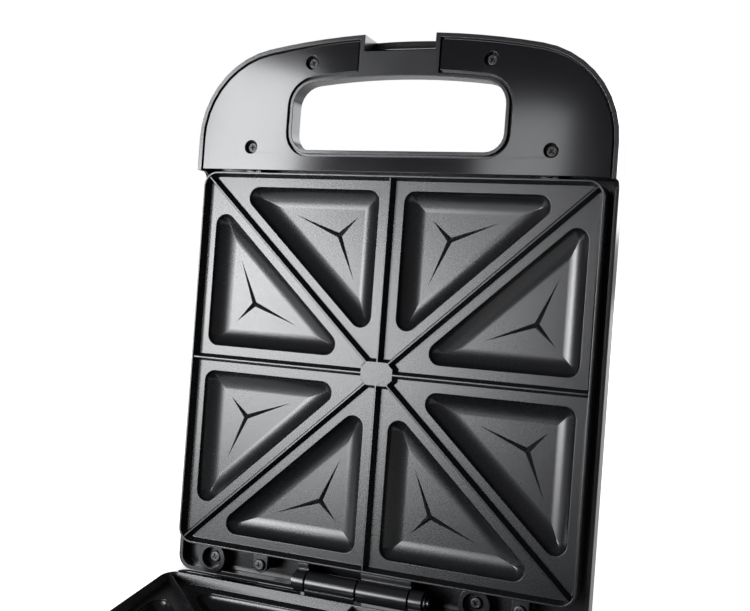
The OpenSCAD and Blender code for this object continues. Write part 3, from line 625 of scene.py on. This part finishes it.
def moulding(node, name, body, slot, width, angle=30):
    piece = twin(frame["nodes"][node], name)
    piece.parent = None
    piece.hide_render = piece.hide_viewport = False
    for key in list(piece.keys()):
        del piece[key]
    piece.data.materials.clear()
    melted(piece, FLAT, CLOSE * MM)
    softened(piece, width, 2, angle)
    # The bevel leaves slivers in the flat faces, which would smear their shading.
    melted(piece, FLAT)
    shaded(piece, 34)
    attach(piece, body)
    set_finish(piece, slot)
    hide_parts(node)
    print(name, len(piece.data.polygons), "faces")
    return piece


base_frame = moulding("base_frame", "base_housing_frame", "base", "housing_black", 0.3)
moulding("lid_frame", "lid_housing_frame", "lid", "housing_black", 0.3)
moulding("base_pan", "base_housing_pan", "base", "housing_black", 0.3, 40)
moulding("lid_cover", "lid_housing_cover", "lid", "housing_black", 0.3, 40)
moulding("base_handle_panel", "base_grip_panel", "base", "panel_black", 0.3)
moulding("lid_handle_panel", "lid_grip_panel", "lid", "panel_black", 0.3)
moulding("latch", "latch_clip", "latch", "housing_black", 0.4)

# %% [markdown]
# The open lid comes to rest on the rear wall of the base. A low ledge runs along that wall from
# the hinge round both corners, level with its two stops, so that no light comes through under
# the lid. It is a bent slab with soft edges, made once, mirrored, and joined to the frame.

# %% The ledge on the rear wall
REAR_X, REAR_Y, REAR_R, WALL_T = 121.6, 0.5, 8.95, 2.5
LEDGE_START, LEDGE_LOW, LEDGE_TOP, LEDGE_TURN = 43.5, -14, -7.7, 215
bend = (arc(-REAR_X, REAR_Y, REAR_R, LEDGE_TURN, 270, 6)
        + [(-LEDGE_START, REAR_Y - REAR_R), (-LEDGE_START, REAR_Y - REAR_R + WALL_T)]
        + arc(-REAR_X, REAR_Y, REAR_R - WALL_T, 270, LEDGE_TURN, 6))
ledge = softened(slab("rear_ledge", bend, LEDGE_LOW, LEDGE_TOP), 0.5, 3)
ledge = taken_to(shaded(joined([ledge, flipped(ledge, -1, 1)])), IN_BASE)
base_frame = joined([base_frame, ledge])
print("rear ledge joined:", base_frame.name, len(base_frame.data.polygons), "faces")

# %% [markdown]
# ## Finishes
# Each finish is a node material on object coordinates. Three effects come back in several of
# them, so each is a node group: a fine grain that gives height, slow stains that change tone
# and gloss, and a brushed streak for metal.


# %% Build a node group
def node_group(name, inputs, outputs):
    group = bpy.data.node_groups.new(name, "ShaderNodeTree")
    for label, value in inputs:
        socket = group.interface.new_socket(label, in_out="INPUT",
                                            socket_type="NodeSocketFloat")
        socket.default_value = value
    for label in outputs:
        group.interface.new_socket(label, in_out="OUTPUT", socket_type="NodeSocketFloat")
    return group, group.nodes.new("NodeGroupInput"), group.nodes.new("NodeGroupOutput")


def link(tree, start, end):
    tree.links.new(start, end)


def noise(tree, coordinates, scale, detail=2.0, roughness=0.5):
    node = tree.nodes.new("ShaderNodeTexNoise")
    node.inputs["Detail"].default_value = detail
    node.inputs["Roughness"].default_value = roughness
    link(tree, coordinates, node.inputs["Vector"])
    if isinstance(scale, (int, float)):
        node.inputs["Scale"].default_value = scale
    else:
        link(tree, scale, node.inputs["Scale"])
    return node.outputs["Fac"]


def math(tree, operation, a, b=None, clamp=False):
    node = tree.nodes.new("ShaderNodeMath")
    node.operation = operation
    node.use_clamp = clamp
    for i, value in enumerate((a, b)):
        if value is None:
            continue
        if isinstance(value, (int, float)):
            node.inputs[i].default_value = value
        else:
            link(tree, value, node.inputs[i])
    return node.outputs[0]


def fit(tree, value, low, high, to_low, to_high):
    node = tree.nodes.new("ShaderNodeMapRange")
    for i, number in enumerate((low, high, to_low, to_high)):
        node.inputs[i + 1].default_value = number
    link(tree, value, node.inputs[0])
    return node.outputs[0]


def mixed(tree, factor, first, second):
    """One colour where the factor is 0, the other where it is 1."""
    node = tree.nodes.new("ShaderNodeMix")
    node.data_type = "RGBA"
    node.inputs["A"].default_value = (*first, 1)
    node.inputs["B"].default_value = (*second, 1)
    link(tree, factor, node.inputs["Factor"])
    return node.outputs["Result"]


# %% Grain, stains and streaks
grain, grain_in, grain_out = node_group("fine_grain", [("Size", 900), ("Speck", 2600)],
                                        ["Height", "Tone"])
where = grain.nodes.new("ShaderNodeTexCoord").outputs["Object"]
soft = noise(grain, where, grain_in.outputs["Size"], 3, 0.55)
speck = noise(grain, where, grain_in.outputs["Speck"], 1, 0.4)
link(grain, math(grain, "ADD", math(grain, "MULTIPLY", soft, 0.7),
                 math(grain, "MULTIPLY", speck, 0.3)), grain_out.inputs["Height"])
link(grain, fit(grain, speck, 0.35, 0.7, 0, 1), grain_out.inputs["Tone"])

stain, stain_in, stain_out = node_group("slow_stains", [("Size", 14), ("Contrast", 1)],
                                        ["Mask"])
where = stain.nodes.new("ShaderNodeTexCoord").outputs["Object"]
broad = noise(stain, where, stain_in.outputs["Size"], 5, 0.6)
link(stain, math(stain, "ADD", math(stain, "MULTIPLY", math(stain, "SUBTRACT", broad, 0.5),
                                    stain_in.outputs["Contrast"]), 0.5, True),
     stain_out.inputs["Mask"])

streak, streak_in, streak_out = node_group("brushed_streak", [("Fineness", 1500)], ["Mask"])
where = streak.nodes.new("ShaderNodeTexCoord").outputs["Object"]
stretch = streak.nodes.new("ShaderNodeMapping")
stretch.inputs["Scale"].default_value = (0.04, 1, 1)
link(streak, where, stretch.inputs["Vector"])
link(streak, noise(streak, stretch.outputs["Vector"], streak_in.outputs["Fineness"], 3, 0.6),
     streak_out.inputs["Mask"])
print("node groups:", [g.name for g in bpy.data.node_groups])


# %% Put a finish together
def placed(tree, group, **values):
    node = tree.nodes.new("ShaderNodeGroup")
    node.node_tree = group
    for name, value in values.items():
        node.inputs[name].default_value = value
    return node


finishes = {}


def finish(name, dark, light, gloss, tone, height, **constants):
    """Makes a material between two colours. gloss: the lowest and highest roughness. tone: a
    function of the tree that gives the masks for colour and gloss, and the bump's height
    signal. height: the depth of the bump."""
    material = bpy.data.materials.new(name)
    material.use_nodes = True
    tree = material.node_tree
    shader = tree.nodes["Principled BSDF"]
    colour_mask, gloss_mask, relief = tone(tree)
    link(tree, mixed(tree, colour_mask, dark, light), shader.inputs["Base Color"])
    link(tree, fit(tree, gloss_mask, 0, 1, *gloss), shader.inputs["Roughness"])
    bump = tree.nodes.new("ShaderNodeBump")
    bump.inputs["Strength"].default_value = 1
    bump.inputs["Distance"].default_value = height
    link(tree, relief, bump.inputs["Height"])
    link(tree, bump.outputs["Normal"], shader.inputs["Normal"])
    for label, value in constants.items():
        shader.inputs[label.replace("_", " ")].default_value = value
    finishes[name] = material


def coated(tree):
    """A sprayed or moulded satin surface: specks and stains in tone and gloss."""
    fine = placed(tree, grain, Size=900, Speck=2600)
    slow = placed(tree, stain, Size=10, Contrast=1.6)
    colour = math(tree, "ADD", math(tree, "MULTIPLY", fine.outputs["Tone"], 0.55),
                  math(tree, "MULTIPLY", slow.outputs["Mask"], 0.45))
    gloss = math(tree, "ADD", math(tree, "MULTIPLY", fine.outputs["Height"], 0.5),
                 math(tree, "MULTIPLY", slow.outputs["Mask"], 0.5))
    return colour, gloss, fine.outputs["Height"]


def polished(tree):
    """A glossy moulding: its stains show in the gloss alone."""
    fine = placed(tree, grain, Size=700, Speck=3200)
    slow = placed(tree, stain, Size=22, Contrast=2.2)
    return fine.outputs["Tone"], slow.outputs["Mask"], fine.outputs["Height"]


def brushed(tree):
    """Drawn metal: fine lines along X."""
    lines = placed(tree, streak, Fineness=1500)
    slow = placed(tree, stain, Size=40, Contrast=1.5)
    gloss = math(tree, "ADD", math(tree, "MULTIPLY", lines.outputs["Mask"], 0.6),
                 math(tree, "MULTIPLY", slow.outputs["Mask"], 0.4))
    return slow.outputs["Mask"], gloss, lines.outputs["Mask"]


# %% The finishes
finish("nonstick", (0.003, 0.0032, 0.0037), (0.011, 0.0114, 0.0125), (0.235, 0.305), coated,
       0.00003)
finish("housing_black", (0.008, 0.008, 0.009), (0.014, 0.014, 0.016), (0.18, 0.24), polished,
       0.000003)
finish("panel_black", (0.004, 0.004, 0.005), (0.008, 0.008, 0.009), (0.09, 0.12), polished,
       0.0000015, Specular_IOR_Level=0.44)
finish("screw_black", (0.01, 0.01, 0.01), (0.03, 0.03, 0.03), (0.25, 0.45), coated, 0.00001,
       Metallic=0.5)
finish("zinc", (0.022, 0.023, 0.024), (0.075, 0.077, 0.08), (0.32, 0.5), brushed, 0.000004,
       Metallic=1)
finish("element_steel", (0.12, 0.1, 0.09), (0.38, 0.34, 0.31), (0.35, 0.6), coated, 0.00001,
       Metallic=1)
finish("shield_aluminium", (0.6, 0.61, 0.62), (0.82, 0.83, 0.84), (0.25, 0.4), brushed,
       0.000004, Metallic=1)
finish("ceramic", (0.7, 0.66, 0.58), (0.84, 0.81, 0.75), (0.6, 0.8), coated, 0.00003)
finish("cream_plastic", (0.76, 0.72, 0.62), (0.84, 0.81, 0.72), (0.4, 0.55), coated, 0.00001)
finish("black_rubber", (0.012, 0.012, 0.012), (0.03, 0.03, 0.03), (0.7, 0.9), coated, 0.00004)
finish("pin_steel", (0.06, 0.061, 0.063), (0.16, 0.162, 0.166), (0.3, 0.45), brushed,
       0.000003, Metallic=1)
finish("red_lens", (0.35, 0.012, 0.01), (0.5, 0.03, 0.02), (0.08, 0.16), polished, 0.000004,
       Coat_Weight=0.5)
finish("green_lens", (0.012, 0.22, 0.06), (0.03, 0.34, 0.1), (0.08, 0.16), polished, 0.000004,
       Coat_Weight=0.5)
print("finishes:", list(finishes))


# %% Give every piece its finish
def dressed(piece, slot):
    piece.data.materials.clear()
    piece.data.materials.append(finishes[slot])


for row in frame["record"]["subparts"]:
    dressed(frame["nodes"][row["node"]], row["material_slot"])
for piece in bpy.context.scene.objects:
    if piece.type == "MESH" and piece.get("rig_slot"):
        dressed(piece, piece["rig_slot"])
print("finish on the plate:", plate.data.materials[0].name)

# %% [markdown]
# ## The studio
# The photograph has a white surround and one broad soft light from the left of the camera,
# which the satin plate and the glossy handle mirror. Behind the camera the room is dark, and
# that is why the right half of the handle stays nearly black.
#
# The floor glows for the camera, so that it is white in the picture, and less in what the
# toaster mirrors. Behind the lid a shadow is painted on it, in its glow and in its paint,
# because the photograph is dark under the hinge.

# %% The floor
MIRROR_SHARE, ROUGH_FLOOR = 0.22, 0.9
GLOW_NEAR, GLOW_FAR, GLOW_LEAST = 0.5, 1.6, 0.72
# The painted shade behind the lid: its strength, its reach in Y and X, and its grey.
PAINTED_SHADE_DEPTH, PAINTED_SHADE_MID, PAINTED_SHADE_FULL, PAINTED_SHADE_END = 0.9, 0.18, 0.06, 0.13
LEFT_END, LEFT_FULL, RIGHT_FULL, RIGHT_END = -0.2, -0.18, 0.0, 0.13
PALE, PAINTED_SHADE_GREY = (0.85, 0.85, 0.85), (0.2, 0.2, 0.2)
bpy.ops.object.select_all(action="DESELECT")
bpy.ops.mesh.primitive_plane_add(size=12, location=(0, 0, 0))
floor = bpy.context.object
floor.name = "floor"
white = bpy.data.materials.new("white_floor")
white.use_nodes = True
tree = white.node_tree
ground = tree.nodes["Principled BSDF"]
ground.inputs["Roughness"].default_value = ROUGH_FLOOR
path = tree.nodes.new("ShaderNodeLightPath")
mirrored = math(tree, "MAXIMUM", path.outputs["Is Glossy Ray"],
                path.outputs["Is Transmission Ray"])
seen = math(tree, "MAXIMUM", path.outputs["Is Camera Ray"],
            math(tree, "MULTIPLY", mirrored, MIRROR_SHARE))
spot = tree.nodes.new("ShaderNodeTexCoord").outputs["Object"]
away = tree.nodes.new("ShaderNodeVectorMath")
away.operation = "LENGTH"
link(tree, spot, away.inputs[0])
glow = fit(tree, away.outputs["Value"], GLOW_NEAR, GLOW_FAR, GLOW_LEAST, 1.0)
at = tree.nodes.new("ShaderNodeSeparateXYZ")
link(tree, spot, at.inputs[0])
# A shadow painted on the floor behind the lid: it takes the floor's glow down.
across = math(tree, "MULTIPLY", fit(tree, at.outputs["X"], LEFT_END, LEFT_FULL, 0, 1),
              fit(tree, at.outputs["X"], RIGHT_FULL, RIGHT_END, 1, 0))
back = math(tree, "ABSOLUTE", math(tree, "SUBTRACT", at.outputs["Y"], PAINTED_SHADE_MID))
painted_shade_under_lid = math(tree, "MULTIPLY", math(tree, "MULTIPLY", across, PAINTED_SHADE_DEPTH),
                 fit(tree, back, PAINTED_SHADE_FULL, PAINTED_SHADE_END, 1, 0))
glow = math(tree, "MULTIPLY", glow, math(tree, "SUBTRACT", 1, painted_shade_under_lid))
link(tree, math(tree, "MULTIPLY", seen, glow), ground.inputs["Emission Strength"])
# The same painted shade takes the paint down, so that no lamp lights it up again.
link(tree, mixed(tree, painted_shade_under_lid, PALE, PAINTED_SHADE_GREY), ground.inputs["Base Color"])
floor.data.materials.append(white)
print("floor laid:", floor.name)

# %% The white room behind the toaster, dark behind the camera
AMBIENT = 0.1
BACK_START, BACK_FULL, UP_FULL, UP_END = 0.45, 0.75, 0.2, 0.35
world = bpy.data.worlds.new("studio")
bpy.context.scene.world = world
world.use_nodes = True
tree = world.node_tree
background = tree.nodes["Background"]
direction = tree.nodes.new("ShaderNodeTexCoord").outputs["Generated"]
parts = tree.nodes.new("ShaderNodeSeparateXYZ")
link(tree, direction, parts.inputs[0])
behind = math(tree, "MULTIPLY", fit(tree, parts.outputs["Y"], BACK_START, BACK_FULL, 0, 1),
              fit(tree, parts.outputs["Z"], UP_FULL, UP_END, 1, 0))
path = tree.nodes.new("ShaderNodeLightPath")
seen = math(tree, "MAXIMUM", path.outputs["Is Camera Ray"],
            path.outputs["Is Transmission Ray"])
mirrored = math(tree, "MULTIPLY", path.outputs["Is Glossy Ray"], behind)
shown = math(tree, "MAXIMUM", seen, mirrored)
link(tree, math(tree, "MAXIMUM", shown, AMBIENT), background.inputs["Strength"])
background.inputs["Color"].default_value = (1, 1, 1, 1)
print("world set:", world.name)

# %% [markdown]
# The broad light is built from four softboxes, because the handle mirrors their shapes: one low
# and wide, one narrow and brighter that reaches higher, and two weak ones to the right of them,
# where the light fades out. A large lamp above lifts the shadows and shows in no mirror, and
# one behind lights the rear.

# %% The lamps
COOL_WHITE = (0.965, 0.978, 1)
AIM = (0, 0.14, 0.2)


def softbox(name, at, width, height, radiance):
    bpy.ops.object.light_add(type="AREA", location=at)
    lamp = bpy.context.object
    lamp.name = name
    lamp.data.shape = "RECTANGLE"
    lamp.data.size, lamp.data.size_y = width, height
    lamp.data.energy = radiance * pi * width * height
    lamp.data.color = COOL_WHITE
    lamp.rotation_euler = (Vector(AIM) - Vector(at)).to_track_quat("-Z", "Y").to_euler()
    return lamp


softbox("key", (-0.65, -0.95, 0.37), 0.53, 0.48, 14.6)
softbox("key_core", (-0.755, -0.919, 0.61), 0.2, 0.52, 19)
softbox("key_spill", (-0.31, -0.98, 0.4), 0.24, 0.36, 4.8)
softbox("key_strip", (-0.22, -0.92, 0.655), 0.14, 0.26, 5.5)
fill = softbox("fill", (0.0, 0.3, 1.7), 1.8, 1.8, 0.7)
fill.visible_glossy = False
softbox("back", (0.5, 1.3, 0.6), 1.0, 1.0, 3)

# %% The plain view transform for the picture
bpy.context.scene.view_settings.view_transform = "Standard"
